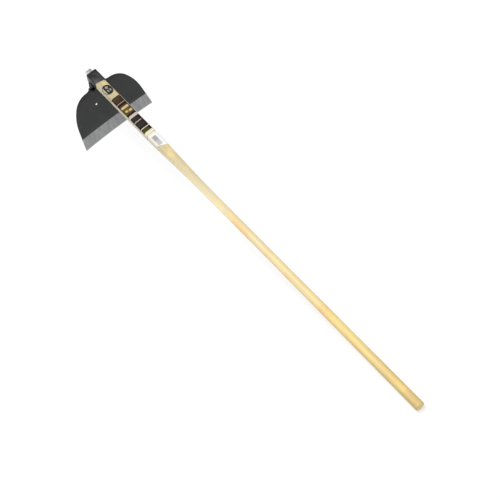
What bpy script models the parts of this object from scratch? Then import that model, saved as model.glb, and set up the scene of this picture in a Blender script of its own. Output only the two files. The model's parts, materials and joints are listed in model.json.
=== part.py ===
"""Half-moon draw hoe: a dished steel blade on a short saddle neck, a box socket and a long wooden handle.

Tool axes while modelling: +X to the user's right, +Y forward from butt to head, +Z up, metres.
The handle's axis lies on Y, and the socket's far end is at y = 0. The whole tool is then leaned
so that its cutting edge and its butt both lie on the ground.
"""
import math

import bpy
from mathutils import Vector

# Fit between touching pieces
GAP = 0.0003

# Handle, measured from the socket's far end to the butt
HANDLE_LENGTH = 1.3735
BUTT_DIAMETER = 0.0278
WAIST_DIAMETER = 0.0238
BUTT_ROUNDING = 0.0035
HEAD_WIDTH = 0.0285
HEAD_DEPTH = 0.0300
HEAD_CORNER = 0.0050
BLEND_START = 0.270
BLEND_END = 0.520
FLARE_START = 0.780
TENON_CORNER = 0.0047

# Socket, a folded box that the tenon goes through
SOCKET_WIDTH = 0.0335
SOCKET_DEPTH = 0.0350
SOCKET_LENGTH = 0.0423
MOUTH_SKEW = 0.0036
SOCKET_WALL = 0.0024
SOCKET_CORNER = 0.0045

# Wedge, driven into the tenon's end
WEDGE_WIDTH = 0.0180
WEDGE_BUTT_THICKNESS = 0.0062
WEDGE_NOSE_THICKNESS = 0.0016
WEDGE_INSERTED = 0.0340
WEDGE_PROUD = 0.0170
WEDGE_LEVEL = 0.0030

# Nail through the socket's top into the tenon
NAIL_HEAD_DIAMETER = 0.0072
NAIL_HEAD_HEIGHT = 0.0016
NAIL_SHANK_DIAMETER = 0.0030
NAIL_LENGTH = 0.0100
NAIL_BACK = 0.0120

# Blade, a half-moon plate hollowed towards the user
BLADE_ANGLE = math.radians(61.5)
BLADE_WIDTH = 0.240
BLADE_HEIGHT = 0.150
BLADE_THICKNESS = 0.0026
BLADE_DISH = 0.0040
SIDE_TAPER = math.radians(7)
SIDE_STRAIGHT = 0.066
SHOULDER_RADIUS = 0.0585
SHOULDER_SWEEP = math.radians(55)
EDGE_BAND = 0.0350
EDGE_THICKNESS = 0.0008
HANG_HOLE_DIAMETER = 0.0060
HANG_HOLE_SIDE = -0.0284
HANG_HOLE_HEIGHT = 0.1025
ROOT_HEIGHT = 0.0035
ROOT_FILLET = 0.0190

# Neck, a pressed saddle from the blade's root whose lips fold up and clasp the socket
NECK_RISE = 0.0162
NECK_SETBACK = 0.0118
NECK_THICKNESS = 0.0040
NECK_FOLD_RADIUS = 0.0020
LIP_DEPTH = 0.0130
LIP_LAP = 0.0065
WELD_RADIUS = 0.0013

# Papers on the handle, in line back from the socket's mouth
PAPER_THICKNESS = 0.0004
MOUTH_TO_SEAL = 0.0180
SEAL_LENGTH = 0.0350
SEAL_WIDTH = 0.0200
SEAL_TO_LABEL = 0.0162
LABEL_LENGTH = 0.1580
LABEL_TO_STICKER = 0.0020
STICKER_LENGTH = 0.0600

CORNER_STEPS = 8

# Derived places
SOCKET_TOP = SOCKET_DEPTH / 2
SOCKET_MOUTH = -SOCKET_LENGTH
BLADE_UP = Vector((0, math.cos(BLADE_ANGLE), math.sin(BLADE_ANGLE)))
BLADE_FACE = Vector((0, -math.sin(BLADE_ANGLE), math.cos(BLADE_ANGLE)))
NECK_SEAT = Vector((0, -NECK_SETBACK, -SOCKET_TOP))
EDGE_MIDDLE = NECK_SEAT - BLADE_UP * (BLADE_HEIGHT + NECK_RISE)
LABEL_START = MOUTH_TO_SEAL + SEAL_LENGTH + SEAL_TO_LABEL
STICKER_START = LABEL_START + LABEL_LENGTH + LABEL_TO_STICKER

for old in list(bpy.data.objects):
    bpy.data.objects.remove(old, do_unlink=True)

hoe = bpy.data.collections.new("draw_hoe")
cutters = bpy.data.collections.new("cutters")
bpy.context.scene.collection.children.link(hoe)
bpy.context.scene.collection.children.link(cutters)

tool = bpy.data.objects.new("tool_axes", None)
hoe.objects.link(tool)


# Helpers

def material(name, colour, roughness, metallic=0.0):
    made = bpy.data.materials.new(name)
    made.use_nodes = True
    shader = made.node_tree.nodes["Principled BSDF"]
    shader.inputs["Base Color"].default_value = (*colour, 1)
    shader.inputs["Roughness"].default_value = roughness
    shader.inputs["Metallic"].default_value = metallic
    return made


def place(name, data, look, smooth=30):
    """Puts a mesh or curve on the tool's axes as one named piece."""
    made = bpy.data.objects.new(name, data)
    hoe.objects.link(made)
    made.parent = tool
    data.materials.append(look)
    if made.type == "MESH" and smooth:
        data.shade_smooth()
        data.set_sharp_from_angle(angle=math.radians(smooth))
    return made


def cutter(name, add, **shape):
    """A primitive that only cuts."""
    add(**shape)
    made = bpy.context.object
    made.name = name
    for home in list(made.users_collection):
        home.objects.unlink(made)
    cutters.objects.link(made)
    made.parent = tool
    made.hide_render = True
    made.display_type = "WIRE"
    return made


def cut(piece, tool_piece):
    boolean = piece.modifiers.new(tool_piece.name, "BOOLEAN")
    boolean.operation = "DIFFERENCE"
    boolean.solver = "EXACT"
    boolean.object = tool_piece


def surface(name, rows, closed=False):
    """A loft through rows of points. A closed one has rows that ring the handle, from head to butt, and caps."""
    count = len(rows[0])
    points = [tuple(point) for row in rows for point in row]
    across = count if closed else count - 1
    faces = []
    for row in range(len(rows) - 1):
        for column in range(across):
            following = (column + 1) % count
            here, above = row * count, (row + 1) * count
            faces.append((here + column, here + following, above + following, above + column))
    if closed:
        faces.append(tuple(reversed(range(count))))
        faces.append(tuple(range(len(points) - count, len(points))))
    mesh = bpy.data.meshes.new(name)
    mesh.from_pydata(points, [], faces)
    return mesh


def solidify(piece, thickness, offset):
    shell = piece.modifiers.new("thickness", "SOLIDIFY")
    shell.thickness = thickness
    shell.offset = offset
    return shell


def mix(start, end, share):
    return start + (end - start) * share


def ease(share):
    share = min(max(share, 0), 1)
    return share * share * (3 - 2 * share)


def section(width, depth, corner, y):
    """A rounded rectangle across the handle, from its top right corner round by the top left."""
    points = []
    for quarter in range(4):
        side = 1 if quarter in (0, 3) else -1
        level = 1 if quarter in (0, 1) else -1
        for step in range(CORNER_STEPS):
            turn = math.radians(90) * (quarter + (step + 0.5) / CORNER_STEPS)
            x = side * (width / 2 - corner) + corner * math.cos(turn)
            z = level * (depth / 2 - corner) + corner * math.sin(turn)
            points.append(Vector((x, y, z)))
    return points


def handle_section(y, grow=0.0):
    """The handle's section at y: squared at the head, round from the end of the blend, flared to the butt."""
    share = ease((-y - BLEND_START) / (BLEND_END - BLEND_START))
    flare = max(0, (-y - FLARE_START) / (HANDLE_LENGTH - FLARE_START))
    diameter = mix(WAIST_DIAMETER, BUTT_DIAMETER, flare)
    width = mix(HEAD_WIDTH, diameter, share) + 2 * grow
    depth = mix(HEAD_DEPTH, diameter, share) + 2 * grow
    corner = mix(HEAD_CORNER, diameter / 2, share) + grow
    return section(width, depth, corner, y)


def blade_point(x, up, face=0.0):
    """A point of the blade: across, up from the middle of its edge, and out of its face to the user."""
    return EDGE_MIDDLE + Vector((x, 0, 0)) + BLADE_UP * up + BLADE_FACE * face


# Lean of the tool on the ground, worked out from its edge and its rounded butt

def ground_lean():
    reach = HANDLE_LENGTH - BUTT_ROUNDING + EDGE_MIDDLE.y
    drop = EDGE_MIDDLE.z + BUTT_DIAMETER / 2 - BUTT_ROUNDING
    return -math.atan2(drop, reach) - math.asin(BUTT_ROUNDING / math.hypot(drop, reach))


LEAN = ground_lean()


def dish(x):
    """How far the plate stands out to the user at x."""
    return BLADE_DISH * (2 * x / BLADE_WIDTH) ** 2


def edge_line(x):
    """The cutting edge is ground level, so it drops where the plate comes forward."""
    return -dish(x) / math.tan(BLADE_ANGLE + LEAN)


# Handle

def make_handle():
    look = material("pale_hardwood", (0.72, 0.58, 0.33), 0.55)
    rows = []
    for step in range(5):
        turn = math.radians(90) * step / 4
        radius = BUTT_DIAMETER / 2 - BUTT_ROUNDING * (1 - math.sin(turn))
        y = -HANDLE_LENGTH + BUTT_ROUNDING * (1 - math.cos(turn))
        rows.append(section(2 * radius, 2 * radius, radius, y))
    rows.append(handle_section(-FLARE_START))
    for step in range(11):
        rows.append(handle_section(-mix(BLEND_END, BLEND_START, step / 10)))
    shoulder = SOCKET_MOUTH - MOUTH_SKEW - GAP
    rows.append(handle_section(shoulder))

    inner_width = SOCKET_WIDTH - 2 * SOCKET_WALL - 2 * GAP
    inner_depth = SOCKET_DEPTH - 2 * SOCKET_WALL - 2 * GAP
    for y in (shoulder, 0):
        rows.append(section(inner_width, inner_depth, TENON_CORNER, y))
    rows.reverse()
    handle = place("handle", surface("handle", rows, closed=True), look)
    cut(handle, cutter("wedge_cleft", add_wedge_body, room=GAP))
    bore = NAIL_SHANK_DIAMETER / 2 + GAP
    depth = NAIL_LENGTH - SOCKET_WALL + 2 * GAP
    hole = cutter("nail_hole_in_tenon", bpy.ops.mesh.primitive_cylinder_add, vertices=16, radius=bore,
                  depth=2 * depth, location=(0, -NAIL_BACK, SOCKET_TOP - SOCKET_WALL))
    cut(handle, hole)
    return handle


# Wedge

def add_wedge_body(room=0.0):
    """A wedge that thickens steadily from its nose, with room added all round."""
    bpy.ops.mesh.primitive_cube_add(size=1)
    length = WEDGE_INSERTED + WEDGE_PROUD + 2 * room
    slope = (WEDGE_BUTT_THICKNESS - WEDGE_NOSE_THICKNESS) / WEDGE_INSERTED
    for vertex in bpy.context.object.data.vertices:
        x, y, z = vertex.co
        y = y * length + (WEDGE_PROUD - WEDGE_INSERTED) / 2
        thickness = WEDGE_NOSE_THICKNESS + slope * (y + WEDGE_INSERTED) + 2 * room
        vertex.co = (x * (WEDGE_WIDTH + 2 * room), y, WEDGE_LEVEL + z * thickness)


def make_wedge():
    look = material("bright_wedge_steel", (0.62, 0.62, 0.61), 0.35, 0.9)
    add_wedge_body()
    wedge = bpy.context.object
    mesh = wedge.data
    bpy.data.objects.remove(wedge, do_unlink=True)
    mesh.name = "handle_wedge"
    made = place("handle_wedge", mesh, look, smooth=0)
    bevel = made.modifiers.new("worn_edges", "BEVEL")
    bevel.width = 0.0005
    bevel.segments = 2
    return made


# Socket

def make_socket():
    look = material("socket_black_paint", (0.045, 0.046, 0.047), 0.5)
    rows = [section(SOCKET_WIDTH, SOCKET_DEPTH, SOCKET_CORNER, y) for y in (0, SOCKET_MOUTH)]
    for point in rows[1]:
        point.y -= MOUTH_SKEW * 2 * point.x / SOCKET_WIDTH
    for row in rows:
        row.append(row[0].copy())
    mesh = surface("socket", rows)
    socket = place("socket", mesh, look)
    weld = socket.modifiers.new("join", "WELD")
    weld.merge_threshold = 0.00001
    solidify(socket, SOCKET_WALL, -1)
    bore = NAIL_SHANK_DIAMETER / 2 + GAP
    hole = cutter("nail_hole_in_socket", bpy.ops.mesh.primitive_cylinder_add, vertices=16, radius=bore,
                  depth=3 * SOCKET_WALL, location=(0, -NAIL_BACK, SOCKET_TOP - SOCKET_WALL / 2))
    cut(socket, hole)
    return socket


# Nail

def make_nail():
    look = material("nail_steel", (0.20, 0.20, 0.20), 0.45, 0.8)
    seat = SOCKET_TOP + GAP
    head, shank = NAIL_HEAD_DIAMETER / 2, NAIL_SHANK_DIAMETER / 2
    profile = [(0, seat + NAIL_HEAD_HEIGHT)]
    for step in range(1, 5):
        turn = math.radians(90) * step / 4
        profile.append((head * math.sin(turn), seat + NAIL_HEAD_HEIGHT * math.cos(turn)))
    profile.append((shank, seat))
    profile.append((shank, seat - NAIL_LENGTH + 2 * shank))
    profile.append((0, seat - NAIL_LENGTH))
    mesh = bpy.data.meshes.new("socket_nail")
    mesh.from_pydata([(x, 0, z) for x, z in profile], [(i, i + 1) for i in range(len(profile) - 1)], [])
    nail = place("socket_nail", mesh, look)
    nail.location = (0, -NAIL_BACK, 0)
    turned = nail.modifiers.new("turned", "SCREW")
    turned.steps = turned.render_steps = 24
    turned.use_merge_vertices = True
    turned.merge_threshold = 0.00001
    return nail


# Blade: columns of points run from the ground edge up to the half-moon's rim

def on_arc(centre, radius, turn):
    """A point of an arc; the turn is measured from straight up."""
    return centre[0] + radius * math.sin(turn), centre[1] + radius * math.cos(turn)


def side_radius():
    """Radius of the side arc that takes the straight side up to the shoulder arc."""
    rise = BLADE_HEIGHT - SIDE_STRAIGHT - SHOULDER_RADIUS * (1 - math.cos(SHOULDER_SWEEP))
    return rise / (math.cos(SHOULDER_SWEEP) - math.sin(SIDE_TAPER))


def rim_centres():
    """Start of the right side's arc, and the centres of side arc, shoulder arc and root fillet, all tangent."""
    start = (BLADE_WIDTH / 2 - SIDE_STRAIGHT * math.tan(SIDE_TAPER), SIDE_STRAIGHT)
    side = on_arc(start, -side_radius(), math.radians(90) - SIDE_TAPER)
    shoulder = on_arc(on_arc(side, side_radius(), SHOULDER_SWEEP), -SHOULDER_RADIUS, SHOULDER_SWEEP)
    fillet_x = SOCKET_WIDTH / 2 + NECK_THICKNESS + ROOT_FILLET
    touch = math.asin(max(0, fillet_x - shoulder[0]) / (SHOULDER_RADIUS + ROOT_FILLET))
    fillet = (fillet_x, shoulder[1] + (SHOULDER_RADIUS + ROOT_FILLET) * math.cos(touch))
    return start, side, shoulder, fillet, touch


def neck_half_width(up):
    """Half the outline's width above the half-moon, where it follows the root fillet and then runs straight up."""
    fillet = rim_centres()[3]
    below = max(0, fillet[1] - up)
    return fillet[0] - math.sqrt(max(0, ROOT_FILLET ** 2 - below ** 2))


def rim_points():
    """The rim from its right side line up: side arc, shoulder arc, fillet into the root, root's top."""
    start, side, shoulder, fillet, touch = rim_centres()
    side_turn = math.radians(90) - SIDE_TAPER
    root_top = BLADE_HEIGHT + ROOT_HEIGHT
    root_half = neck_half_width(root_top)
    turned = math.acos(min(1, max(0, (fillet[1] - root_top) / ROOT_FILLET)))
    points = [start]
    points += [on_arc(side, side_radius(), mix(side_turn, SHOULDER_SWEEP, k / 7)) for k in range(1, 8)]
    points += [on_arc(shoulder, SHOULDER_RADIUS, mix(SHOULDER_SWEEP, touch, k / 11)) for k in range(1, 12)]
    if touch == 0:
        points.append((fillet[0], BLADE_HEIGHT))
    points += [on_arc(fillet, -ROOT_FILLET, mix(touch, turned, k / 5)) for k in range(1, 5)]
    points += [(root_half * (1 - k / 3), root_top) for k in range(4)]
    return points


def blade_columns():
    """Pairs of foot and rim points in blade coordinates, from the right side to the left."""
    right = rim_points()
    rim = right + [(-x, up) for x, up in reversed(right[:-1])]
    spread = BLADE_WIDTH / 2 / rim[0][0]
    return [((x * spread, edge_line(x * spread)), (x, up)) for x, up in rim]


def blade_rows(shares, back=0.0):
    """Rows between two heights of each column; a height is given as a function of the column."""
    rows = []
    for height_of in shares:
        row = []
        for foot, rim in blade_columns():
            share = (height_of(foot, rim) - foot[1]) / (rim[1] - foot[1])
            x, up = mix(foot[0], rim[0], share), mix(foot[1], rim[1], share)
            row.append(blade_point(x, up, dish(x) - back))
        rows.append(row)
    return rows


def make_blade():
    look = material("blade_black_paint", (0.045, 0.046, 0.047), 0.55)
    steps = 8
    heights = [lambda foot, rim, k=k: mix(EDGE_BAND + GAP, rim[1], k / steps) for k in range(steps + 1)]
    blade = place("blade_plate", surface("blade_plate", blade_rows(heights)), look)
    solidify(blade, BLADE_THICKNESS, 1)
    middle = blade_point(HANG_HOLE_SIDE, HANG_HOLE_HEIGHT)
    hole = cutter("hang_hole", bpy.ops.mesh.primitive_cylinder_add, vertices=24,
                  radius=HANG_HOLE_DIAMETER / 2, depth=10 * BLADE_THICKNESS, location=middle,
                  rotation=(BLADE_ANGLE, 0, 0))
    cut(blade, hole)
    return blade


def make_cutting_edge():
    look = material("ground_edge_steel", (0.50, 0.51, 0.52), 0.32, 0.95)
    steps = 3
    heights = [lambda foot, rim, k=k: mix(foot[1], EDGE_BAND, k / steps) for k in range(steps + 1)]
    rows = blade_rows(heights, back=BLADE_THICKNESS)
    edge = place("cutting_edge", surface("cutting_edge", rows), look)
    ground = edge.vertex_groups.new(name="ground_taper")
    count = len(rows[0])
    for step in range(steps + 1):
        ground.add(list(range(step * count, (step + 1) * count)), step / steps, "REPLACE")
    taper = solidify(edge, BLADE_THICKNESS, -1)
    taper.vertex_group = ground.name
    taper.thickness_vertex_group = EDGE_THICKNESS / BLADE_THICKNESS
    return edge


# Neck: rows climb from the root's top edge; lips flat at the root turn forward and clasp the socket's sides

def level_point(x, level, face):
    """The point at a height along Z that lies at x and stands out of the blade's face by face."""
    up = (level - EDGE_MIDDLE.z - face * BLADE_FACE.z) / BLADE_UP.z
    return blade_point(x, up, face)


def neck_profile(up, folded):
    """Half of the neck's section, as across and out of the face: web, rounded fold, lip out to its rim."""
    corner = Vector((SOCKET_WIDTH / 2 + GAP, 0))
    rim = Vector((neck_half_width(up) - (NECK_THICKNESS - GAP) * folded, LIP_DEPTH * folded))
    out = (rim - corner).normalized()
    web_end, lip_start = corner - Vector((NECK_FOLD_RADIUS, 0)), corner + out * NECK_FOLD_RADIUS
    half = [web_end * (step / 3) for step in range(4)]
    for step in range(1, 6):
        share = step / 5
        half.append(web_end.lerp(corner, share).lerp(corner.lerp(lip_start, share), share))
    half += [lip_start.lerp(rim, step / 3) for step in range(1, 4)]
    return half


def neck_rows():
    rows = []
    foot = BLADE_HEIGHT + ROOT_HEIGHT + GAP
    seat = BLADE_HEIGHT + NECK_RISE
    top = seat + LIP_LAP / BLADE_UP.z
    heights = [mix(foot, seat, step / 10) for step in range(11)] + [mix(seat, top, step / 2) for step in (1, 2)]
    for height in heights:
        half = neck_profile(height, ease(min(1, (height - foot) / (seat - foot)) ** 0.7))
        share = (height - foot) / (top - foot)
        row = []
        for x, face in [(-x, face) for x, face in reversed(half[1:])] + [tuple(point) for point in half]:
            low = blade_point(x, foot, face)
            high = level_point(x, -SOCKET_TOP + LIP_LAP, face)
            row.append(low.lerp(high, share))
        rows.append(row)
    return rows


def make_neck():
    look = material("neck_black_paint", (0.045, 0.046, 0.047), 0.5)
    neck = place("neck", surface("neck", neck_rows()), look, smooth=50)
    shell = solidify(neck, NECK_THICKNESS, -1)
    shell.use_even_offset = True
    room_width = SOCKET_WIDTH + 2 * GAP
    room_depth = SOCKET_DEPTH + 2 * GAP
    room = cutter("socket_room", bpy.ops.mesh.primitive_cube_add, size=1, scale=(room_width, 1, room_depth))
    cut(neck, room)
    return neck


# Weld beads: one on each lip, one under the socket's far end, one behind the root's joint

def make_bead(name, start, end, look):
    curve = bpy.data.curves.new(name, "CURVE")
    curve.dimensions = "3D"
    curve.bevel_depth = WELD_RADIUS
    curve.bevel_resolution = 2
    curve.use_fill_caps = True
    spline = curve.splines.new("POLY")
    spline.points.add(1)
    spline.points[0].co = (*start, 1)
    spline.points[1].co = (*end, 1)
    return place(name, curve, look)


def make_welds():
    look = material("weld_metal", (0.05, 0.05, 0.05), 0.5, 0.2)
    stand_off = GAP + WELD_RADIUS
    level = -SOCKET_TOP + LIP_LAP + stand_off
    for name, side in (("weld_lip_left", -1), ("weld_lip_right", 1)):
        x = side * (SOCKET_WIDTH / 2 + stand_off)
        make_bead(name, level_point(x, level, 0), level_point(x, level, 0.9 * LIP_DEPTH), look)
    behind = -NECK_THICKNESS - stand_off
    web = 0.8 * SOCKET_WIDTH / 2
    ends = [level_point(x, -SOCKET_TOP - stand_off, behind) for x in (-web, web)]
    make_bead("weld_under_socket", *ends, look)
    root_top = BLADE_HEIGHT + ROOT_HEIGHT
    joint = neck_half_width(root_top) - 2 * WELD_RADIUS
    ends = [blade_point(x, root_top - WELD_RADIUS, -BLADE_THICKNESS - stand_off) for x in (-joint, joint)]
    make_bead("weld_root_joint", *ends, look)


# Papers on the handle's top

def make_wrap(name, look, start, length):
    """A strip of paper that lies over the handle's top and down both its sides to the lower corners."""
    rows = []
    steps = max(2, round(length / 0.015))
    front = SOCKET_MOUTH - start
    for step in range(steps + 1):
        ring = handle_section(front - length * step / steps, grow=GAP)
        rows.append(ring[-1:] + ring[:2 * CORNER_STEPS + 1])
    paper = place(name, surface(name, rows), look)
    solidify(paper, PAPER_THICKNESS, 1)
    return paper


def make_seal():
    look = material("seal_paper", (0.06, 0.055, 0.05), 0.4)
    middle = SOCKET_MOUTH - MOUTH_TO_SEAL - SEAL_LENGTH / 2
    level = HEAD_DEPTH / 2 + GAP + PAPER_THICKNESS / 2
    bpy.ops.mesh.primitive_cylinder_add(vertices=40, radius=0.5, depth=1)
    disc = bpy.context.object
    mesh = disc.data
    for vertex in mesh.vertices:
        x, y, z = vertex.co
        vertex.co = (x * SEAL_WIDTH, middle + y * SEAL_LENGTH, level + z * PAPER_THICKNESS)
    bpy.data.objects.remove(disc, do_unlink=True)
    return place("seal_sticker", mesh, look)


def stand_on_ground():
    """Leans the tool until edge and butt touch the ground, with the origin under the middle of its box."""
    tool.rotation_euler = (LEAN, 0, 0)
    bpy.context.view_layer.update()
    graph = bpy.context.evaluated_depsgraph_get()
    corners = []
    for piece in hoe.objects:
        if piece.type != "EMPTY":
            shown = piece.evaluated_get(graph)
            mesh = shown.to_mesh()
            corners += [piece.matrix_world @ vertex.co for vertex in mesh.vertices]
            shown.to_mesh_clear()
    low = [min(corner[axis] for corner in corners) for axis in range(3)]
    high = [max(corner[axis] for corner in corners) for axis in range(3)]
    tool.location = (-(low[0] + high[0]) / 2, -(low[1] + high[1]) / 2, -low[2])
    bpy.context.view_layer.update()


make_handle()
make_wedge()
make_socket()
make_nail()
make_blade()
make_cutting_edge()
make_neck()
make_welds()
make_seal()
make_wrap("name_label", material("label_paper", (0.75, 0.73, 0.66), 0.6), LABEL_START, LABEL_LENGTH)
make_wrap("price_sticker", material("sticker_paper", (0.82, 0.82, 0.80), 0.6), STICKER_START, STICKER_LENGTH)
stand_on_ground()
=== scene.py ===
"""Looks of a half-moon draw hoe lying on a pale floor, seen from above and from behind its user's left."""

import json
import math

import bpy
import numpy as np
from mathutils import Matrix, Vector, noise


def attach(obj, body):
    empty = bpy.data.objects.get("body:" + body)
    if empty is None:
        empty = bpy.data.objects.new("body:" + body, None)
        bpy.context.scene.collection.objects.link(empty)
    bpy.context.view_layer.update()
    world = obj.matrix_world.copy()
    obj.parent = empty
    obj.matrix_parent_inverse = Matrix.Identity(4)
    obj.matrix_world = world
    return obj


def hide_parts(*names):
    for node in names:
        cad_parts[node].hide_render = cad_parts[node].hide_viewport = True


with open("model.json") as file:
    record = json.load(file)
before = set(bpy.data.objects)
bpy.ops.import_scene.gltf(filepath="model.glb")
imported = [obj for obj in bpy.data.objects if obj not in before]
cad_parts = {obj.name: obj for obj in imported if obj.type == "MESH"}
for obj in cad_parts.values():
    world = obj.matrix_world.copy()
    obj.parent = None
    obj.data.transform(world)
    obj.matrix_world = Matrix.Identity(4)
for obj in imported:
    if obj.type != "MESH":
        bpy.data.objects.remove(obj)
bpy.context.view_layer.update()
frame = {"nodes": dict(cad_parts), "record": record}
nodes = frame["nodes"]
mounts = {mount["name"]: mount for mount in frame["record"]["mounts"]}

MM = 0.001

# The hoe's own sizes in metres, as packed; places along the handle count from the socket's far end
HANDLE_LENGTH = 1.3735
HEAD_HALF = (0.01425, 0.0150)
HEAD_CORNER = 0.0050
TENON_HALF = (0.01405, 0.0148)
TENON_CORE = 0.0125
SHOULDER = -0.0462
SOCKET_DEPTH = 0.0350
NAIL_BACK = 0.0120
NAIL_LENGTH = 0.0100
NAIL_HEAD_HEIGHT = 0.0016
BLADE_ANGLE = math.radians(61.5)
BLADE_HEIGHT = 0.150
BLADE_THICKNESS = 0.0026
EDGE_BAND = 0.0350
ROOT_HEIGHT = 0.0035
NECK_THICKNESS = 0.0040
NECK_RISE = 0.0162
NECK_SETBACK = 0.0118
PLATE_GAP = 0.0003
SEAL_MIDDLE = -0.0778
SEAL_HALF = (0.0100, 0.0175)

# Sizes of what is added here: worn edges, nail, weld metal, the neck's forged foot and the papers' cuts
WORN_EDGE = 0.5 * MM
WEDGE_EDGE = 0.4 * MM
NAIL_HEAD_RADIUS = 3.6 * MM
NAIL_RIM = 0.4 * MM
NAIL_SHANK_RADIUS = 1.5 * MM
NAIL_POINT = 3.0 * MM
NAIL_DENT = 0.12 * MM
WELD_RADIUS = 1.25 * MM
WELD_RIPPLE = 1.7 * MM
WELD_ROUNDED = 0.14
NECK_VOXEL = 0.5 * MM
ROOT_HALF_WIDTH = 0.0285
ROOT_FILL_FRONT, ROOT_FILL_BACK = 0.6 * MM, 3.4 * MM
FOOT_TAPER = 0.0050
FLARE, FLARE_HEIGHT, FLARE_REACH = 0.0030, 0.1625, 0.0085
FLARE_INNER, FLARE_OUTER = 14 * MM, 21 * MM
FLARE_LOW, FLARE_HIGH = 4 * MM, 12 * MM
# Where painted shade darkens the corner under the socket's mouth, and how far it reaches on blade and neck
POCKET_MIDDLE = (-0.0172, -0.0274)
POCKET_HALF_WIDTH = 0.0140
BLADE_POCKET, NECK_POCKET = 0.0165, 0.0085
SEAL_SPREAD, SEAL_SHIFT = 1.52, -0.0020
SEAL_FIELD_SHIFT, SEAL_FIELD_HALF = 0.6 * MM, (10.4 * MM, 16.6 * MM)
STICKER_TRIM, STICKER_SLANT = 0.0025, 0.0130
SLANT_LEFT, SLANT_RIGHT = -0.0125, 0.0120

# Where the prints start, how ragged their borders are, and where a paper turns down its sides
PRINT_START = -0.0425
PRINT_RAGGED = 0.6 * MM
PAPER_TURN = 0.0125

# The wood's grain: where the tree's pith lay beside the handle, its year rings, and how far they wander
PITH = (0.055, 0.021)
RING_STEP = 0.0034
RING_WANDER = 0.012

# Tool axes: across, forward along the handle, and up, from the socket's far end
forward = -Vector(mounts["butt_end"]["axis"]).normalized()
lean = math.atan2(forward.z, forward.y)
tool_origin = Vector(mounts["butt_end"]["pos_m"]) + forward * HANDLE_LENGTH
TOOL = Matrix.Translation(tool_origin) @ Matrix.Rotation(lean, 4, "X")

# Blade axes: across, up the blade from the middle of its edge, and out of the face towards the user
blade_up = Vector((0, math.cos(BLADE_ANGLE), math.sin(BLADE_ANGLE)))
edge_middle = Vector((0, -NECK_SETBACK, -SOCKET_DEPTH / 2)) - blade_up * (BLADE_HEIGHT + NECK_RISE)
BLADE = TOOL @ Matrix.Translation(edge_middle) @ Matrix.Rotation(BLADE_ANGLE, 4, "X")
blade_out = BLADE.to_3x3() @ Vector((0, 0, 1))


def shade(red, green, blue):
    """A colour as it shows on a screen, 0 to 255, turned into a linear one."""
    def linear(value):
        value /= 255
        return value / 12.92 if value <= 0.04045 else ((value + 0.055) / 1.055) ** 2.4
    return linear(red), linear(green), linear(blue), 1.0


# Colours as they show on a screen; the wood's tones run from the butt to the head
WOOD_TONES = [
    (0.0, shade(208, 184, 120)), (0.04, shade(222, 197, 134)), (0.12, shade(232, 210, 149)),
    (0.25, shade(222, 203, 156)), (0.45, shade(218, 204, 166)), (0.70, shade(202, 190, 154)),
    (0.80, shade(192, 181, 147)), (0.92, shade(170, 162, 132)),
]
HONEY, STRAW = shade(232, 188, 118), shade(226, 212, 134)
RING_BROWN, STREAK_BROWN, PORE_BROWN = shade(198, 160, 100), shade(182, 142, 86), shade(150, 112, 66)
HAND_SOIL, PAINTED_EDGE_SHADE = shade(150, 124, 88), shade(150, 136, 104)
PAINTED_SIDE_LIGHT, PAINTED_HEAD_SIDE_LIGHT = shade(236, 229, 196), shade(224, 222, 202)
PAINTED_END_LIGHT, SAWN_BROWN = shade(244, 226, 168), shade(176, 146, 88)
PAINT_DARK, PAINT_LIGHT = shade(21, 22, 24), shade(32, 33, 35)
BACK_PAINT_LIGHT = shade(33, 34, 36)
SCUFF, DUST, PAINTED_SHADE, BARE_STEEL = shade(80, 80, 80), shade(86, 78, 68), shade(2, 2, 2), shade(120, 117, 114)
GROUND_DARK, GROUND_LIGHT = shade(114, 115, 117), shade(158, 159, 160)
GROUND_BROAD, GROUND_FRESH = shade(186, 187, 188), shade(206, 207, 208)
BACK_STEEL_DARK, BACK_STEEL_LIGHT = shade(120, 121, 123), shade(178, 179, 181)
WEDGE_DARK, WEDGE_LIGHT = shade(170, 170, 169), shade(216, 216, 214)
NAIL_DARK, NAIL_LIGHT = shade(48, 48, 49), shade(82, 81, 80)
STEEL_STAIN = shade(112, 106, 98)
PAPER_FIBRE, PAPER_SIDE, PAPER_SCUFF = shade(188, 178, 156), shade(200, 193, 172), shade(196, 186, 166)
SEAL_PAPER_DARK, SEAL_PAPER_LIGHT = shade(158, 149, 132), shade(172, 163, 144)
SEAL_INK_DARK, SEAL_INK_LIGHT, SEAL_RIM = shade(20, 20, 17), shade(36, 34, 28), shade(38, 37, 26)
SEAL_DISC, SEAL_LEAF = shade(132, 126, 126), shade(140, 139, 124)
INK_BROWN, INK_BLACK = shade(31, 19, 11), shade(26, 19, 17)
CREAM, PALE_LINE = shade(214, 208, 188), shade(180, 157, 139)
STICKER_WHITE, BAR_GREY = shade(218, 218, 221), shade(146, 142, 152)
FLOOR_GREY, FLOOR_GLOW = shade(160, 160, 160), 0.61
WHITE = (1, 1, 1, 1)


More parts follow.
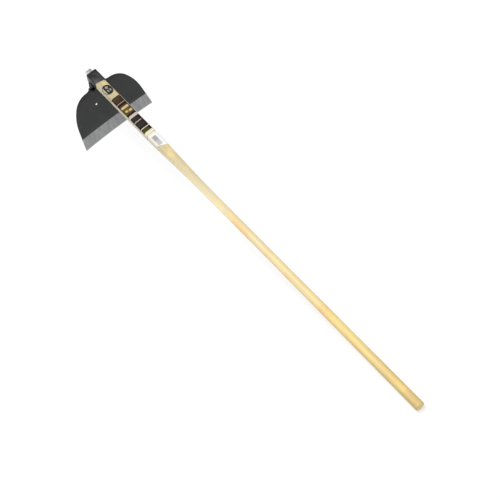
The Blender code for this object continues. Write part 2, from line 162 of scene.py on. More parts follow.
class Look:
    """One material, put together node by node."""

    def __init__(self, name, metallic=0.0, specular=0.5):
        self.material = bpy.data.materials.new(name)
        self.material.use_nodes = True
        self.tree = self.material.node_tree
        self.shader = self.tree.nodes["Principled BSDF"]
        self.shader.inputs["Metallic"].default_value = metallic
        self.shader.inputs["Specular IOR Level"].default_value = specular

    def put(self, socket, value):
        if isinstance(value, bpy.types.NodeSocket):
            self.tree.links.new(value, socket)
        else:
            socket.default_value = value

    def node(self, kind, inputs=(), **settings):
        made = self.tree.nodes.new(kind)
        for name, value in settings.items():
            setattr(made, name, value)
        for name, value in dict(inputs).items():
            self.put(made.inputs[name], value)
        return made

    def axes(self, matrix):
        """Coordinates in metres along a frame's own axes, as a vector socket."""
        source = self.node("ShaderNodeTexCoord").outputs["Object"]
        place = self.node("ShaderNodeMapping", vector_type="TEXTURE")
        place.inputs["Location"].default_value = matrix.translation
        place.inputs["Rotation"].default_value = matrix.to_euler()
        self.put(place.inputs["Vector"], source)
        return place.outputs["Vector"]

    def split(self, vector):
        made = self.node("ShaderNodeSeparateXYZ", {"Vector": vector})
        return made.outputs["X"], made.outputs["Y"], made.outputs["Z"]

    def sums(self, operation, first, second=0.0, third=0.0):
        made = self.node("ShaderNodeMath", operation=operation)
        for socket, value in zip(made.inputs, (first, second, third)):
            self.put(socket, value)
        return made.outputs["Value"]

    def squares(self, first, second):
        """The squares of two values, added."""
        return self.sums("ADD", self.sums("MULTIPLY", first, first), self.sums("MULTIPLY", second, second))

    def scaled(self, value, middle, half):
        """How far a value lies from a middle, where half counts as 1."""
        return self.sums("DIVIDE", self.sums("SUBTRACT", value, middle), half)

    def stretched(self, vector, x, y, z):
        return self.node("ShaderNodeVectorMath", {0: vector, 1: (x, y, z)}, operation="MULTIPLY").outputs[0]

    def noise(self, vector, scale, detail=3.0, roughness=0.5, distortion=0.0):
        inputs = {"Vector": vector, "Scale": scale, "Detail": detail, "Roughness": roughness,
                  "Distortion": distortion}
        return self.node("ShaderNodeTexNoise", inputs).outputs["Fac"]

    def between(self, value, low, high, out_low=0.0, out_high=1.0):
        """A value eased from out_low to out_high as the input goes from low to high."""
        inputs = {"Value": value, "From Min": low, "From Max": high, "To Min": out_low, "To Max": out_high}
        return self.node("ShaderNodeMapRange", inputs, interpolation_type="SMOOTHSTEP").outputs["Result"]

    def mix(self, share, first, second):
        made = self.node("ShaderNodeMix", data_type="RGBA")
        self.put(made.inputs[0], share)
        self.put(made.inputs[6], first)
        self.put(made.inputs[7], second)
        return made.outputs[2]

    def ramp(self, value, stops):
        made = self.node("ShaderNodeValToRGB", {"Fac": value})
        points = made.color_ramp.elements
        while len(points) < len(stops):
            points.new(0.5)
        for point, (position, colour) in zip(points, stops):
            point.position = position
            point.color = colour
        return made.outputs["Color"]

    def band(self, value, low, high, soft):
        """1 between low and high, with soft borders."""
        rise = self.between(value, low - soft, low + soft)
        fall = self.between(value, high - soft, high + soft, 1.0, 0.0)
        return self.sums("MULTIPLY", rise, fall)

    def relief(self, height, depth):
        """A bump of that depth in metres."""
        return self.node("ShaderNodeBump", {"Height": height, "Distance": depth}).outputs["Normal"]

    def finish(self, colour=None, roughness=None, normal=None, metallic=None):
        for name, value in (("Base Color", colour), ("Roughness", roughness), ("Normal", normal),
                            ("Metallic", metallic)):
            if value is not None:
                self.put(self.shader.inputs[name], value)
        return self.material


# Materials

def wood_look(name, end_grain=False):
    """Pale wood with year rings, streaks and pores along the handle, warm and sunny patches, and soil from
    hands; painted light lightens its lower sides and painted shade darkens both edges towards the butt;
    end_grain adds the sawn face of the butt, lightened by painted light."""
    look = Look(name, specular=0.35)
    spot = look.axes(TOOL)
    x, y, z = look.split(spot)
    drift = look.noise(look.stretched(spot, 1.0, 0.12, 1.0), 22.0, detail=2.0)
    reach = look.sums("SQRT", look.squares(look.sums("ADD", x, PITH[0]), look.sums("ADD", z, PITH[1])))
    wander = look.sums("MULTIPLY_ADD", drift, RING_WANDER, reach)
    rings = look.sums("SINE", look.sums("MULTIPLY", wander, 2 * math.pi / RING_STEP))
    late = look.between(rings, -0.2, 1.0)
    streaks = look.noise(look.stretched(spot, 1.0, 0.012, 1.0), 520.0, detail=4.0, roughness=0.6)
    pores = look.noise(look.stretched(spot, 1.0, 0.02, 1.0), 1900.0, detail=2.0, roughness=0.6)
    patches = look.noise(look.stretched(spot, 2.0, 0.7, 2.0), 15.0, roughness=0.55, distortion=0.4)
    sunny = look.noise(look.stretched(spot, 3.0, 1.1, 3.0), 17.0, detail=2.0)
    handled = look.noise(look.stretched(spot, 1.0, 0.4, 1.0), 45.0, detail=4.0, roughness=0.65)

    along = look.between(y, -HANDLE_LENGTH, 0.0)
    warmth = look.sums("MULTIPLY", look.between(patches, 0.46, 0.62, 0.0, 0.62),
                       look.between(along, 0.60, 0.76, 1.0, 0.25))
    colour = look.mix(warmth, look.ramp(along, WOOD_TONES), HONEY)
    colour = look.mix(look.between(sunny, 0.50, 0.66, 0.0, 0.45), colour, STRAW)
    colour = look.mix(look.sums("MULTIPLY", late, 0.26), colour, RING_BROWN)
    colour = look.mix(look.between(streaks, 0.52, 0.72, 0.0, 0.34), colour, STREAK_BROWN)
    colour = look.mix(look.between(pores, 0.62, 0.74, 0.0, 0.35), colour, PORE_BROWN)
    colour = look.mix(look.between(handled, 0.56, 0.78, 0.0, 0.16), colour, HAND_SOIL)

    # Painted light: the handle's lower sides are lightened, by the papers and near the head
    low_side = look.between(z, 0.004, 0.0135, 1.0, 0.0)
    behind_papers = look.sums("MULTIPLY", look.between(along, 0.52, 0.62, 0.0, 0.60),
                              look.between(along, 0.80, 0.90, 1.0, 0.25))
    colour = look.mix(look.sums("MULTIPLY", behind_papers, low_side), colour, PAINTED_SIDE_LIGHT)
    near_head = look.between(y, -0.125, -0.060, 0.0, 0.60)
    colour = look.mix(look.sums("MULTIPLY", near_head, low_side), colour, PAINTED_HEAD_SIDE_LIGHT)
    # Painted shade: both edges of the handle are darkened, more towards the butt
    edge_shade = look.sums("MULTIPLY", look.between(look.sums("ABSOLUTE", x), 0.0075, 0.0130),
                      look.between(along, 0.02, 0.35, 0.34, 0.0))
    colour = look.mix(edge_shade, colour, PAINTED_EDGE_SHADE)
    if end_grain:
        sawn = look.noise(look.stretched(spot, 1.0, 1.0, 0.05), 900.0, detail=2.0)
        # Painted light: the sawn end face is lightened by half
        colour = look.mix(0.5, colour, PAINTED_END_LIGHT)
        colour = look.mix(look.between(sawn, 0.3, 0.8, 0.0, 0.30), colour, SAWN_BROWN)
    height = look.sums("ADD", look.sums("MULTIPLY", streaks, 0.6), look.sums("MULTIPLY", pores, -0.5))
    rough = look.between(streaks, 0.3, 0.8, 0.42, 0.62)
    return look.finish(colour, rough, look.relief(height, 0.12 * MM))


def corner_shade(look, size):
    """How deep a point lies in the corner under the socket's mouth, where painted shade is laid over the
    paint;
    size is how far from the corner's middle the painted shade reaches."""
    x, y, z = look.split(look.axes(TOOL @ Matrix.Translation((0, *POCKET_MIDDLE))))
    aside = look.sums("MAXIMUM", look.sums("SUBTRACT", look.sums("ABSOLUTE", x), POCKET_HALF_WIDTH))
    reach = look.sums("SQRT", look.sums("MULTIPLY_ADD", aside, aside, look.squares(y, z)))
    return look.between(reach, 0.35 * size, size, 1.0, 0.0)


def ground_metal(look, spot):
    """Steel ground across the edge: its colour, and the scratches that set its roughness and relief."""
    lines = look.noise(look.stretched(spot, 1.0, 0.03, 0.03), 1500.0, roughness=0.65)
    broad = look.noise(look.stretched(spot, 1.0, 0.12, 0.12), 130.0, roughness=0.6)
    colour = look.mix(look.between(lines, 0.25, 0.75), GROUND_DARK, GROUND_LIGHT)
    return look.mix(look.between(broad, 0.35, 0.75, 0.0, 0.28), colour, GROUND_BROAD), lines


def paint_look(name, matrix, worn=0.0, ripple=1.0, pocket=0.0, gloss=0.5, overground=False):
    """Black sprayed paint with orange peel, light scuffs and a little dust; worn shows bare metal, pocket
    is the reach of painted shade, black and without reflection, in the corner under the socket, and
    overground shows where the grinder of the edge ran on over the paint."""
    look = Look(name, specular=gloss)
    spot = look.axes(matrix)
    peel = look.noise(spot, 900.0, detail=2.0)
    cloud = look.noise(spot, 35.0, detail=4.0, roughness=0.6)
    scuff = look.noise(look.stretched(spot, 1.0, 0.06, 1.0), 700.0, roughness=0.6, distortion=0.3)
    patch = look.noise(spot, 60.0, roughness=0.6)
    dust = look.noise(spot, 140.0, detail=5.0, roughness=0.7)
    lumps = look.noise(spot, 110.0)
    rubbed = look.sums("MULTIPLY", look.between(scuff, 0.60, 0.72), look.between(patch, 0.50, 0.66))
    colour = look.mix(look.between(cloud, 0.3, 0.75), PAINT_DARK, PAINT_LIGHT)
    colour = look.mix(look.sums("MULTIPLY", rubbed, 0.5), colour, SCUFF)
    colour = look.mix(look.between(dust, 0.56, 0.74, 0.0, 0.22), colour, DUST)
    rough = look.between(cloud, 0.25, 0.8, 0.34, 0.50)
    metallic = 0.0
    if worn:
        rub = look.between(look.noise(spot, 75.0, roughness=0.55), 0.35, 0.70, 0.05, 0.45 * worn)
        chip = look.between(look.noise(spot, 520.0, detail=4.0, roughness=0.6), 0.60, 0.68, 0.0, 0.5 * worn)
        bare = look.sums("MAXIMUM", rub, look.sums("MULTIPLY", chip, look.between(rub, 0.1, 0.3)))
        colour = look.mix(bare, colour, BARE_STEEL)
        metallic = look.sums("MULTIPLY", bare, 0.5)
    # Painted shade: the corner under the socket's mouth is painted black, and metallic with a black colour
    # takes its reflection away
    if pocket:
        deep = corner_shade(look, pocket)
        colour = look.mix(deep, colour, PAINTED_SHADE)
        rough = look.sums("MULTIPLY_ADD", deep, 0.5, rough)
        metallic = deep
    if overground:
        steel, lines = ground_metal(look, spot)
        up = look.split(spot)[1]
        ragged = look.sums("MULTIPLY_ADD", look.sums("SUBTRACT", lines, 0.5), 1.6 * MM, up)
        over = look.between(ragged, EDGE_BAND + 1.6 * MM, EDGE_BAND + 2.6 * MM, 1.0, 0.0)
        colour = look.mix(over, colour, steel)
        metallic = look.sums("MAXIMUM", look.sums("MULTIPLY", over, 0.85), metallic)
    height = look.sums("ADD", look.sums("MULTIPLY", peel, 0.35), look.sums("MULTIPLY", lumps, ripple))
    return look.finish(colour, rough, look.relief(height, 0.22 * MM), metallic)


def ground_look(name):
    """Bright ground steel with fine scratches across the edge, a little fresher right at it."""
    look = Look(name, metallic=0.85)
    spot = look.axes(BLADE)
    up = look.split(spot)[1]
    colour, lines = ground_metal(look, spot)
    fresh = look.between(up, 1.0 * MM, 4.0 * MM, 0.25, 0.0)
    rough = look.between(lines, 0.2, 0.8, 0.30, 0.46)
    return look.finish(look.mix(fresh, colour, GROUND_FRESH), rough, look.relief(lines, 0.06 * MM))


def back_look(name):
    """The blade's back at its edge: painted, with a narrow strip where the grinder took the burr off."""
    look = Look(name)
    spot = look.axes(BLADE)
    up = look.split(spot)[1]
    lines = look.noise(look.stretched(spot, 1.0, 0.04, 0.04), 1400.0, roughness=0.6)
    ragged = look.noise(look.stretched(spot, 1.0, 0.2, 0.2), 260.0, roughness=0.6)
    cloud = look.noise(spot, 35.0, detail=4.0, roughness=0.6)
    level = look.sums("MULTIPLY_ADD", ragged, -4.0 * MM, up)
    bare = look.between(level, 3.5 * MM, 4.5 * MM, 1.0, 0.0)
    paint = look.mix(look.between(cloud, 0.3, 0.75), PAINT_DARK, BACK_PAINT_LIGHT)
    steel = look.mix(lines, BACK_STEEL_DARK, BACK_STEEL_LIGHT)
    rough = look.between(bare, 0.0, 1.0, 0.42, 0.34)
    height = look.sums("ADD", look.sums("MULTIPLY", lines, 0.4), look.noise(spot, 110.0))
    return look.finish(look.mix(bare, paint, steel), rough, look.relief(height, 0.16 * MM),
                       look.sums("MULTIPLY", bare, 0.85))


def steel_look(name, dark, light, roughness):
    """Plain steel drawn along the tool, with a few dull stains."""
    look = Look(name, metallic=0.9)
    spot = look.axes(TOOL)
    lines = look.noise(look.stretched(spot, 1.0, 0.05, 1.0), 1300.0, roughness=0.6)
    stain = look.noise(spot, 70.0, roughness=0.55)
    colour = look.mix(lines, dark, light)
    colour = look.mix(look.between(stain, 0.45, 0.8, 0.0, 0.22), colour, STEEL_STAIN)
    rough = look.between(lines, 0.2, 0.8, roughness - 0.06, roughness + 0.10)
    return look.finish(colour, rough, look.relief(lines, 0.06 * MM))


def print_look(name, ground, marks, grain=0.10):
    """Printed paper. A mark is (from, to, left, right, softness, colour) in millimetres: from and to are
    measured back along the handle, left and right across it and on down its sides."""
    look = Look(name, specular=0.10)
    spot = look.axes(TOOL)
    x, y, z = look.split(spot)
    ragged = look.noise(spot, 500.0, roughness=0.6)
    back = look.sums("MULTIPLY_ADD", y, -1.0, PRINT_START + 0.5 * PRINT_RAGGED)
    back = look.sums("MULTIPLY_ADD", ragged, -PRINT_RAGGED, back)
    fibres = look.noise(look.stretched(spot, 1.0, 0.3, 1.0), 1500.0, detail=4.0, roughness=0.7)
    scuffed = look.noise(spot, 420.0, detail=5.0, roughness=0.7)
    down_side = look.sums("MAXIMUM", look.sums("SUBTRACT", PAPER_TURN, z))
    unrolled = look.sums("MULTIPLY_ADD", look.sums("SIGN", x), down_side, x)
    colour = look.mix(look.between(fibres, 0.3, 0.8, 0.0, grain), ground, PAPER_FIBRE)
    colour = look.mix(look.between(down_side, 1.0 * MM, 7.0 * MM, 0.0, 0.80), colour, PAPER_SIDE)
    for start, end, left, right, soft, ink in marks:
        lengthwise = look.band(back, start * MM, end * MM, soft * MM)
        crosswise = look.band(unrolled, left * MM, right * MM, soft * MM)
        colour = look.mix(look.sums("MULTIPLY", lengthwise, crosswise), colour, ink)
    colour = look.mix(look.between(scuffed, 0.62, 0.74, 0.0, 0.22), colour, PAPER_SCUFF)
    rough = look.between(fibres, 0.2, 0.8, 0.38, 0.55)
    return look.finish(colour, rough, look.relief(fibres, 0.04 * MM))


def seal_look():
    """An oval seal: a thin dark rim line on pale paper, and a dark, squarish field with a pale disc and two
    plain leaves on a stem."""
    look = Look("seal_print", specular=0.12)
    spot = look.axes(TOOL)
    x, y, z = look.split(spot)

    def leaf(across, along, half_length, half_width, turn):
        """An oval spot, with its place and size in millimetres."""
        u = look.sums("SUBTRACT", x, across * MM)
        v = look.sums("SUBTRACT", y, SEAL_MIDDLE + along * MM)
        c, s = math.cos(turn), math.sin(turn)
        lengthwise = look.sums("ADD", look.sums("MULTIPLY", u, c), look.sums("MULTIPLY", v, s))
        crosswise = look.sums("SUBTRACT", look.sums("MULTIPLY", v, c), look.sums("MULTIPLY", u, s))
        far = look.squares(look.sums("DIVIDE", lengthwise, half_length * MM),
                           look.sums("DIVIDE", crosswise, half_width * MM))
        return look.between(far, 0.85, 1.1, 1.0, 0.0)

    drop = look.sums("MAXIMUM", look.sums("SUBTRACT", HEAD_HALF[1], z))
    unrolled = look.sums("ADD", look.sums("ABSOLUTE", x), look.sums("MULTIPLY", drop, 0.5))
    unrolled = look.sums("MULTIPLY", look.sums("SIGN", x), unrolled)
    reach = look.sums("SQRT", look.squares(look.scaled(unrolled, SEAL_SHIFT, SEAL_HALF[0] * SEAL_SPREAD),
                                           look.scaled(y, SEAL_MIDDLE, SEAL_HALF[1])))
    across = look.scaled(unrolled, SEAL_FIELD_SHIFT, SEAL_FIELD_HALF[0])
    along = look.scaled(y, SEAL_MIDDLE, SEAL_FIELD_HALF[1])
    squarish = look.squares(look.sums("MULTIPLY", across, across), look.sums("MULTIPLY", along, along))
    mottle = look.noise(spot, 300.0)
    ink = look.mix(mottle, SEAL_INK_DARK, SEAL_INK_LIGHT)
    colour = look.mix(mottle, SEAL_PAPER_DARK, SEAL_PAPER_LIGHT)
    colour = look.mix(look.band(reach, 0.85, 0.965, 0.03), colour, SEAL_RIM)
    colour = look.mix(look.between(squarish, 0.85, 1.15, 1.0, 0.0), colour, ink)
    colour = look.mix(leaf(0.0, 7.6, 4.7, 5.2, 0.0), colour, SEAL_DISC)
    for side in (-1, 1):
        turn = math.radians(90 - 13 * side)
        colour = look.mix(leaf(1.0 + 4.1 * side, -4.6, 5.0, 2.1, turn), colour, SEAL_LEAF)
    colour = look.mix(leaf(1.0, -3.4, 7.4, 0.3, math.radians(90)), colour, SEAL_LEAF)
    rough = look.between(look.noise(spot, 400.0), 0.3, 0.7, 0.30, 0.42)
    return look.finish(colour, rough, look.relief(look.noise(spot, 600.0), 0.03 * MM))


wood = wood_look("pale_wood")
wood_end = wood_look("pale_wood_end_grain", end_grain=True)
socket_paint = paint_look("black_paint_on_socket", TOOL, ripple=0.7, gloss=0.36)
socket_paint_worn = paint_look("black_paint_rubbed_on_socket", TOOL, worn=0.2)
# The neck's and blade's paint carry painted shade in the corner under the socket's mouth
neck_paint = paint_look("black_paint_on_neck", TOOL, ripple=0.9, pocket=NECK_POCKET)
blade_paint = paint_look("black_paint_on_blade", BLADE, pocket=BLADE_POCKET)
blade_paint_worn = paint_look("black_paint_rubbed_on_blade", BLADE, worn=0.6)
blade_front = paint_look("black_paint_on_blade_front", BLADE, pocket=BLADE_POCKET, overground=True)
blade_front_worn = paint_look("black_paint_rubbed_on_blade_front", BLADE, worn=0.6, overground=True)
weld_paint = paint_look("black_paint_on_welds", BLADE, ripple=2.0)
ground_steel = ground_look("ground_steel")
edge_back = back_look("edge_back")
wedge_steel = steel_look("bright_wedge_steel", WEDGE_DARK, WEDGE_LIGHT, 0.38)
nail_steel = steel_look("dull_nail_steel", NAIL_DARK, NAIL_LIGHT, 0.46)

# The prints, in millimetres from the socket's mouth; LEFT is down the left side, RIGHT on the right corner
LEFT, RIGHT = -20.0, 13.3
label_print = print_look("label_print", CREAM, [
    (145, 156, LEFT, RIGHT, 0.8, shade(179, 172, 164)),
    (67.5, 146, LEFT, RIGHT, 0.4, INK_BROWN),
    (70, 84, LEFT + 3, RIGHT - 4, 3.0, shade(62, 48, 20)),
    (84, 92, LEFT + 3, RIGHT - 4, 2.4, shade(52, 39, 30)),
    (93.8, 96.4, LEFT + 2, RIGHT - 2, 0.8, shade(112, 88, 78)),
    (94.6, 95.6, LEFT + 2, RIGHT - 2, 0.3, PALE_LINE),
    (105, 139, LEFT + 3, RIGHT - 2, 2.4, shade(78, 55, 22)),
    (109.5, 117, -13, 10, 1.4, shade(184, 164, 124)),
    (117.5, 127, -13, 10, 1.6, shade(86, 66, 14)),
    (120, 124.5, -9, 3, 1.4, shade(104, 82, 24)),
    (126.5, 133.5, 0, 10, 1.4, shade(184, 160, 120)),
    (125.5, 132, -11, -3, 1.6, shade(178, 168, 110)),
    (131, 138, -16, -7, 2.0, shade(58, 66, 20)),
    (155, 201.1, LEFT, RIGHT, 0.5, INK_BLACK),
    (158, 168, -14, 6, 3.0, shade(42, 37, 29)),
    (171, 176, LEFT + 2, RIGHT - 5, 0.9, shade(84, 70, 72)),
    (172.8, 174.2, LEFT + 2, RIGHT - 5, 0.3, shade(190, 177, 171)),
    (179, 194, LEFT + 3, RIGHT - 4, 2.4, shade(42, 33, 29)),
    (203.1, 217, LEFT, RIGHT, 0.5, shade(18, 16, 10)),
    (205.5, 215.8, LEFT + 1, 7, 1.6, shade(62, 58, 16)),
    (219.2, 220.0, LEFT, RIGHT, 0.2, shade(150, 140, 110)),
])

# The sticker's bars: where each starts, and how wide it is
BARS = ((242, 1.3), (245, 0.8), (247.2, 1.8), (251, 0.7), (253.4, 1.4), (257, 0.8), (259.3, 2.0),
        (263.2, 0.8), (265.6, 1.4), (269, 0.7), (271.2, 1.6))
BAR_LEFT, BAR_RIGHT = -9.8, 4.2
BLUR_LEFT, BLUR_RIGHT = BAR_LEFT + 0.6, BAR_RIGHT - 0.4
sticker_print = print_look("sticker_print", STICKER_WHITE, [
    (226, 235, LEFT, RIGHT, 1.2, CREAM),
    (241, 275, BLUR_LEFT, BLUR_RIGHT, 0.8, shade(192, 187, 186)),
    *((start, start + width, BAR_LEFT, BAR_RIGHT, 0.12, BAR_GREY) for start, width in BARS),
    (241, 257, BLUR_LEFT, BLUR_RIGHT, 3.0, shade(152, 149, 151)),
    (226, 300, -24, -11.5, 1.4, shade(216, 210, 188)),
], grain=0.05)
seal_print = seal_look()


# Modelling helpers

def pick(piece):
    bpy.ops.object.select_all(action="DESELECT")
    piece.select_set(True)
    bpy.context.view_layer.objects.active = piece


def start_edit(piece, mode="EDGE"):
    pick(piece)
    bpy.ops.object.mode_set(mode="EDIT")
    bpy.ops.mesh.select_mode(type=mode)
    bpy.ops.mesh.select_all(action="SELECT")


def leave_edit():
    bpy.ops.object.mode_set(mode="OBJECT")


def apply(piece, modifier):
    pick(piece)
    bpy.ops.object.modifier_apply(modifier=modifier.name)


def smooth(piece, degrees):
    pick(piece)
    bpy.ops.object.shade_smooth_by_angle(angle=math.radians(degrees))


def linked(name, data):
    piece = bpy.data.objects.new(name, data)
    bpy.context.scene.collection.objects.link(piece)
    return piece


def drawn_line(name, points):
    """A line through these points, drawn by extruding a single corner from each to the next."""
    bpy.ops.object.select_all(action="DESELECT")
    bpy.ops.mesh.primitive_plane_add(size=MM, location=(0, 0, 0))
    piece = bpy.context.object
    piece.name = name
    start_edit(piece, "VERT")
    bpy.ops.mesh.merge(type="CENTER")
    bpy.ops.transform.translate(value=points[0])
    for here, there in zip(points, points[1:]):
        step = Vector(there) - Vector(here)
        bpy.ops.mesh.extrude_region_move(TRANSFORM_OT_translate={"value": step})
    leave_edit()
    return piece


def share_of(value, low, high):
    """How far a value is on its way from low to high, from 0 to 1."""
    return min(1, max(0, (value - low) / (high - low)))


def settle(piece, node):
    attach(piece, "root")
    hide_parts(node)


def copy_of(node, name, looks):
    """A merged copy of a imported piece, to be dressed in its place."""
    piece = linked(name, nodes[node].data.copy())
    piece.data.materials.clear()
    for look in looks:
        piece.data.materials.append(look)
    piece.data.polygons.foreach_set("material_index", [0] * len(piece.data.polygons))
    start_edit(piece)
    if piece.data.has_custom_normals:
        bpy.ops.mesh.customdata_custom_splitnormals_clear()
    bpy.ops.mesh.remove_doubles(threshold=0.01 * MM)
    bpy.ops.mesh.tris_convert_to_quads(face_threshold=math.radians(3), shape_threshold=math.radians(60))
    leave_edit()
    settle(piece, node)
    return piece


def bevelled(piece, width, look=-1):
    """Rounds a piece's sharp edges; look is the number of the material that the rounded edges get."""
    bevel = piece.modifiers.new("worn_edges", "BEVEL")
    bevel.width = width
    bevel.segments = 2
    bevel.limit_method = "ANGLE"
    bevel.angle_limit = math.radians(50)
    bevel.use_clamp_overlap = True
    bevel.material = look
    apply(piece, bevel)


# Pieces

def dress_handle():
    """The handle; its tenon is let out to the head's full size, so that no step shows at the mouth."""
    piece = copy_of("handle", "wooden_handle", [wood, wood_end])
    for vertex in piece.data.vertices:
        spot = TOOL.inverted() @ vertex.co
        within = max(abs(spot.x) - TENON_HALF[0], abs(spot.z) - TENON_HALF[1]) < 0
        on_tenon = spot.y > SHOULDER + 0.5 * PLATE_GAP or (within and spot.y > SHOULDER - PLATE_GAP)
        if on_tenon and max(abs(spot.x), abs(spot.z)) > TENON_CORE:
            spot.x *= HEAD_HALF[0] / TENON_HALF[0]
            spot.z *= HEAD_HALF[1] / TENON_HALF[1]
            vertex.co = TOOL @ spot
    start_edit(piece)
    bpy.ops.mesh.remove_doubles(threshold=0.2 * MM)
    leave_edit()
    smooth(piece, 50)
    for face in piece.data.polygons:
        if abs(face.normal.dot(forward)) > 0.6:
            face.material_index = 1


def dress_wedge():
    piece = copy_of("handle_wedge", "steel_wedge", [wedge_steel])
    bevelled(piece, WEDGE_EDGE)
    smooth(piece, 40)


def dress_socket():
    piece = copy_of("socket", "box_socket", [socket_paint, socket_paint_worn])
    bevelled(piece, WORN_EDGE, look=1)
    smooth(piece, 40)


def dress_blade():
    """The plate, let down to meet the edge steel; its front shows where the grinder ran over the paint."""
    looks = [blade_paint, blade_paint_worn, blade_front, blade_front_worn]
    piece = copy_of("blade_plate", "blade", looks)
    for vertex in piece.data.vertices:
        spot = BLADE.inverted() @ vertex.co
        if spot.y < EDGE_BAND + 2 * PLATE_GAP:
            spot.y -= 0.8 * PLATE_GAP
            vertex.co = BLADE @ spot
    bevelled(piece, WORN_EDGE, look=1)
    for face in piece.data.polygons:
        if face.normal.dot(blade_out) > 0.3:
            face.material_index += 2
    smooth(piece, 40)


def dress_edge():
    piece = copy_of("cutting_edge", "cutting_edge_ground", [ground_steel, edge_back])
    for face in piece.data.polygons:
        if face.normal.dot(blade_out) < -0.5:
            face.material_index = 1
    smooth(piece, 40)


def make_root_fill():
    """A sliver of metal under the neck's slanted foot, that carries its outline down to the blade's root."""
    foot = BLADE_HEIGHT + ROOT_HEIGHT
    section = [(foot, 0.0), (foot + ROOT_FILL_FRONT, 0.0),
               (foot + ROOT_FILL_BACK, -BLADE_THICKNESS), (foot, -BLADE_THICKNESS)]
    fill = drawn_line("root_fill", [(-ROOT_HALF_WIDTH, up, face) for up, face in section])
    start_edit(fill)
    bpy.ops.mesh.edge_face_add()
    bpy.ops.mesh.select_mode(type="FACE")
    bpy.ops.mesh.extrude_region_move(TRANSFORM_OT_translate={"value": (2 * ROOT_HALF_WIDTH, 0, 0)})
    bpy.ops.mesh.select_all(action="SELECT")
    bpy.ops.mesh.normals_make_consistent(inside=False)
    leave_edit()
    fill.data.transform(BLADE)
    return fill


def dress_neck():
    """The neck as forged: soft folds, a foot that tapers to the blade, and sides that flare out above it."""
    piece = copy_of("neck", "saddle_neck", [neck_paint])
    fill = make_root_fill()
    pick(piece)
    fill.select_set(True)
    bpy.ops.object.join()
    forged = piece.modifiers.new("forged", "REMESH")
    forged.mode = "VOXEL"
    forged.voxel_size = NECK_VOXEL
    apply(piece, forged)
    softened = piece.modifiers.new("softened", "SMOOTH")
    softened.factor = 0.5
    softened.iterations = 4
    apply(piece, softened)
    foot = BLADE_HEIGHT + ROOT_HEIGHT
    thinnest = BLADE_THICKNESS / NECK_THICKNESS
    for vertex in piece.data.vertices:
        spot = BLADE.inverted() @ vertex.co
        share = share_of(spot.y, foot, foot + FOOT_TAPER)
        if spot.z < 0:
            spot.z *= thinnest + (1 - thinnest) * share
        spot.y -= 3 * PLATE_GAP * (1 - share) ** 2
        height = max(0, 1 - ((spot.y - FLARE_HEIGHT) / FLARE_REACH) ** 2)
        outward = share_of(abs(spot.x), FLARE_INNER, FLARE_OUTER)
        lying = 1 - share_of(spot.z, FLARE_LOW, FLARE_HIGH)
        spot.x += math.copysign(FLARE * height ** 2 * outward * lying, spot.x)
        vertex.co = BLADE @ spot
    smooth(piece, 180)


def bar_ends(node):
    """Middle line of a round bar: its two ends, found from its corners."""
    corners = np.array([vertex.co for vertex in nodes[node].data.vertices], float)
    middle = corners.mean(0)
    axis = np.linalg.svd(corners - middle, full_matrices=False)[2][0]
    reach = (corners - middle) @ axis
    return Vector(middle + axis * reach.min()), Vector(middle + axis * reach.max())


def turned(name, profile, steps):
    """A closed body turned about Z from (radius, height) points, the first and last on the axis."""
    piece = drawn_line(name, [(radius, 0, height) for radius, height in profile])
    start_edit(piece)
    bpy.ops.mesh.spin(steps=steps, angle=2 * math.pi, center=(0, 0, 0), axis=(0, 0, 1), dupli=False)
    bpy.ops.mesh.select_all(action="SELECT")
    bpy.ops.mesh.remove_doubles(threshold=0.005 * MM)
    bpy.ops.mesh.normals_make_consistent(inside=False)
    leave_edit()
    return piece


def put_along(piece, start, end):
    """Moves a piece turned about Z so that its axis runs from start towards end."""
    turn = (end - start).to_track_quat("Z", "Y").to_matrix().to_4x4()
    piece.data.transform(Matrix.Translation(start) @ turn)


def make_bead(node, name):
    """A run of weld metal in overlapping ripples, rounded at both ends."""
    start, end = bar_ends(node)
    length = (end - start).length
    ripples = max(6, round(length / WELD_RIPPLE))
    count = ripples * 6
    profile = [(0, 0)]
    for step in range(count + 1):
        share = step / count
        phase = share * ripples % 1
        swell = 0.80 + 0.20 * math.sin(math.pi * phase ** 0.7)
        past = max(0, abs(2 * share - 1) - (1 - WELD_ROUNDED)) / WELD_ROUNDED
        rounding = min(1, math.sqrt(max(0.0, 1 - past ** 2)) + 0.15)
        profile.append((WELD_RADIUS * swell * rounding, length * (0.01 + 0.98 * share)))
    profile.append((0, length))
    piece = turned(name, profile, 16)
    for vertex in piece.data.vertices:
        vertex.co.z = min(max(vertex.co.z, 0.0), length)
    piece.data.materials.append(weld_paint)
    put_along(piece, start, end)
    smooth(piece, 60)
    settle(piece, node)


def make_nail():
    """A driven nail: hammered dome, short neck and a shank down into the wood."""
    low = SOCKET_DEPTH / 2 + PLATE_GAP
    high, bottom = low + NAIL_HEAD_HEIGHT, low - NAIL_LENGTH
    dome = NAIL_HEAD_HEIGHT - NAIL_RIM
    profile = [(0, high)]
    for step in range(1, 8):
        turn = math.radians(90) * step / 7
        profile.append((NAIL_HEAD_RADIUS * math.sin(turn), low + NAIL_RIM + dome * math.cos(turn)))
    profile += [(0.985 * NAIL_HEAD_RADIUS, low + 0.1 * MM), (NAIL_SHANK_RADIUS, low),
                (NAIL_SHANK_RADIUS, bottom + NAIL_POINT), (0.4 * MM, bottom + 0.3 * MM), (0, bottom)]
    piece = turned("driven_nail", profile, 28)
    for vertex in piece.data.vertices:
        if vertex.co.z > low + NAIL_RIM + 0.1 * MM:
            dent = noise.noise(vertex.co * 700)
            vertex.co.z = min(vertex.co.z + NAIL_DENT * dent, high)
    piece.data.materials.append(nail_steel)
    piece.data.transform(TOOL @ Matrix.Translation((0, -NAIL_BACK, 0)))
    smooth(piece, 50)
    settle(piece, "socket_nail")


def dress_label():
    piece = copy_of("name_label", "long_label", [label_print])
    smooth(piece, 40)


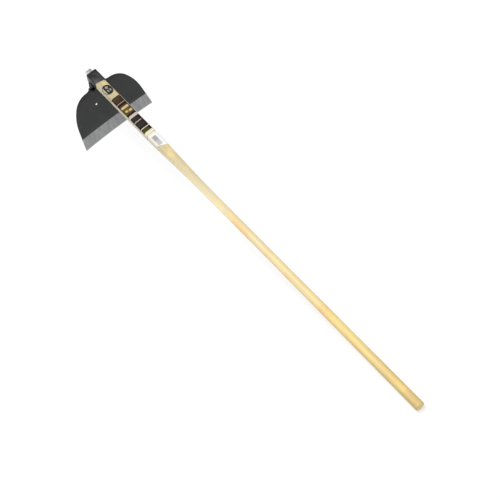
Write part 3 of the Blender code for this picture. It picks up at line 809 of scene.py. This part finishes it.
def dress_sticker():
    """The white sticker, with its far end trimmed and cut askew: it is shorter on its left side."""
    piece = copy_of("price_sticker", "white_sticker", [sticker_print])
    spots = [TOOL.inverted() @ vertex.co for vertex in piece.data.vertices]
    start, end = max(spot.y for spot in spots), min(spot.y for spot in spots)
    for vertex, spot in zip(piece.data.vertices, spots):
        leftward = 1 - share_of(spot.x, SLANT_LEFT, SLANT_RIGHT)
        cut = STICKER_TRIM + STICKER_SLANT * leftward
        spot.y = start + (spot.y - start) * (1 - cut / (start - end))
        vertex.co = TOOL @ spot
    smooth(piece, 40)


def bent_round_head(spot, across):
    """A point over the head's flat top, moved to lie across by that much along the head's rounded surface."""
    flat, top = HEAD_HALF[0] - HEAD_CORNER, HEAD_HALF[1]
    reach, height = abs(across), spot.z
    turn = max(0, reach - flat) / HEAD_CORNER
    radius = HEAD_CORNER + spot.z - top
    if turn:
        quarter = math.radians(90)
        down = max(0, turn - quarter) * HEAD_CORNER
        turn = min(turn, quarter)
        height = top - HEAD_CORNER + radius * math.cos(turn) - down
        reach = flat + radius * math.sin(turn)
    return Vector((math.copysign(reach, across), spot.y, height))


def dress_seal():
    """The seal, as wide as it really is, so that its sides bend down round the handle's corners."""
    piece = copy_of("seal_sticker", "oval_seal", [seal_print])
    start_edit(piece, "FACE")
    bpy.ops.mesh.dissolve_limited(angle_limit=math.radians(2))
    bpy.ops.mesh.select_all(action="DESELECT")
    leave_edit()
    for face in piece.data.polygons:
        face.select = len(face.vertices) > 8
    bpy.ops.object.mode_set(mode="EDIT")
    bpy.ops.mesh.poke()
    bpy.ops.mesh.select_all(action="SELECT")
    bpy.ops.mesh.subdivide(number_cuts=7)
    leave_edit()
    for vertex in piece.data.vertices:
        spot = TOOL.inverted() @ vertex.co
        vertex.co = TOOL @ bent_round_head(spot, spot.x * SEAL_SPREAD + SEAL_SHIFT)
    smooth(piece, 40)


dress_handle()
dress_wedge()
dress_socket()
make_nail()
dress_blade()
dress_edge()
dress_neck()
for bead in ("weld_lip_left", "weld_lip_right", "weld_under_socket", "weld_root_joint"):
    make_bead(bead, bead + "_bead")
dress_seal()
dress_label()
dress_sticker()


# Room: floor, light and camera

def make_floor():
    """A pale floor that glows a little, so that it stays white round the hoe."""
    look = Look("pale_floor", specular=0.2)
    grain = look.noise(look.axes(Matrix.Identity(4)), 3.0)
    look.finish(FLOOR_GREY, look.between(grain, 0.3, 0.7, 0.75, 0.9))
    look.shader.inputs["Emission Color"].default_value = WHITE
    look.shader.inputs["Emission Strength"].default_value = FLOOR_GLOW
    bpy.ops.mesh.primitive_plane_add(size=60, location=(0, 0, 0))
    floor = bpy.context.object
    floor.name = "floor"
    floor.data.materials.append(look.material)


def make_light(name, place, size, power):
    """A square lamp that shines at the middle of the floor."""
    data = bpy.data.lights.new(name, "AREA")
    data.shape = "SQUARE"
    data.size = size
    data.energy = power
    light = linked(name, data)
    light.location = place
    light.rotation_euler = (-Vector(place)).to_track_quat("-Z", "Y").to_euler()


def make_sky(strength):
    world = bpy.data.worlds.new("white_room")
    world.use_nodes = True
    background = world.node_tree.nodes["Background"]
    background.inputs["Color"].default_value = WHITE
    background.inputs["Strength"].default_value = strength
    bpy.context.scene.world = world


def make_camera():
    """The photo's viewpoint, fitted to the hoe's outline in the photo."""
    azimuth, elevation, roll = math.radians(-26.760), math.radians(55.321), math.radians(-15.250)
    aim, distance = Vector((-0.02341, -0.037142, 0.06969)), 6.0
    back = Vector((math.sin(azimuth) * math.cos(elevation), -math.cos(azimuth) * math.cos(elevation),
                   math.sin(elevation)))
    level = Vector((math.cos(azimuth), math.sin(azimuth), 0))
    upright = back.cross(level)
    right = math.cos(roll) * level + math.sin(roll) * upright
    above = math.cos(roll) * upright - math.sin(roll) * level
    data = bpy.data.cameras.new("camera")
    data.lens = 161.19
    data.sensor_width = 36
    camera = linked("camera", data)
    turn = Matrix((right, above, back)).transposed().to_4x4()
    camera.matrix_world = Matrix.Translation(aim + back * distance) @ turn
    bpy.context.scene.camera = camera


make_floor()
make_sky(0.50)
make_light("large_soft_light", (-0.8, 0.3, 4.4), 3.0, 200)
make_camera()
bpy.context.scene.view_settings.view_transform = "Standard"
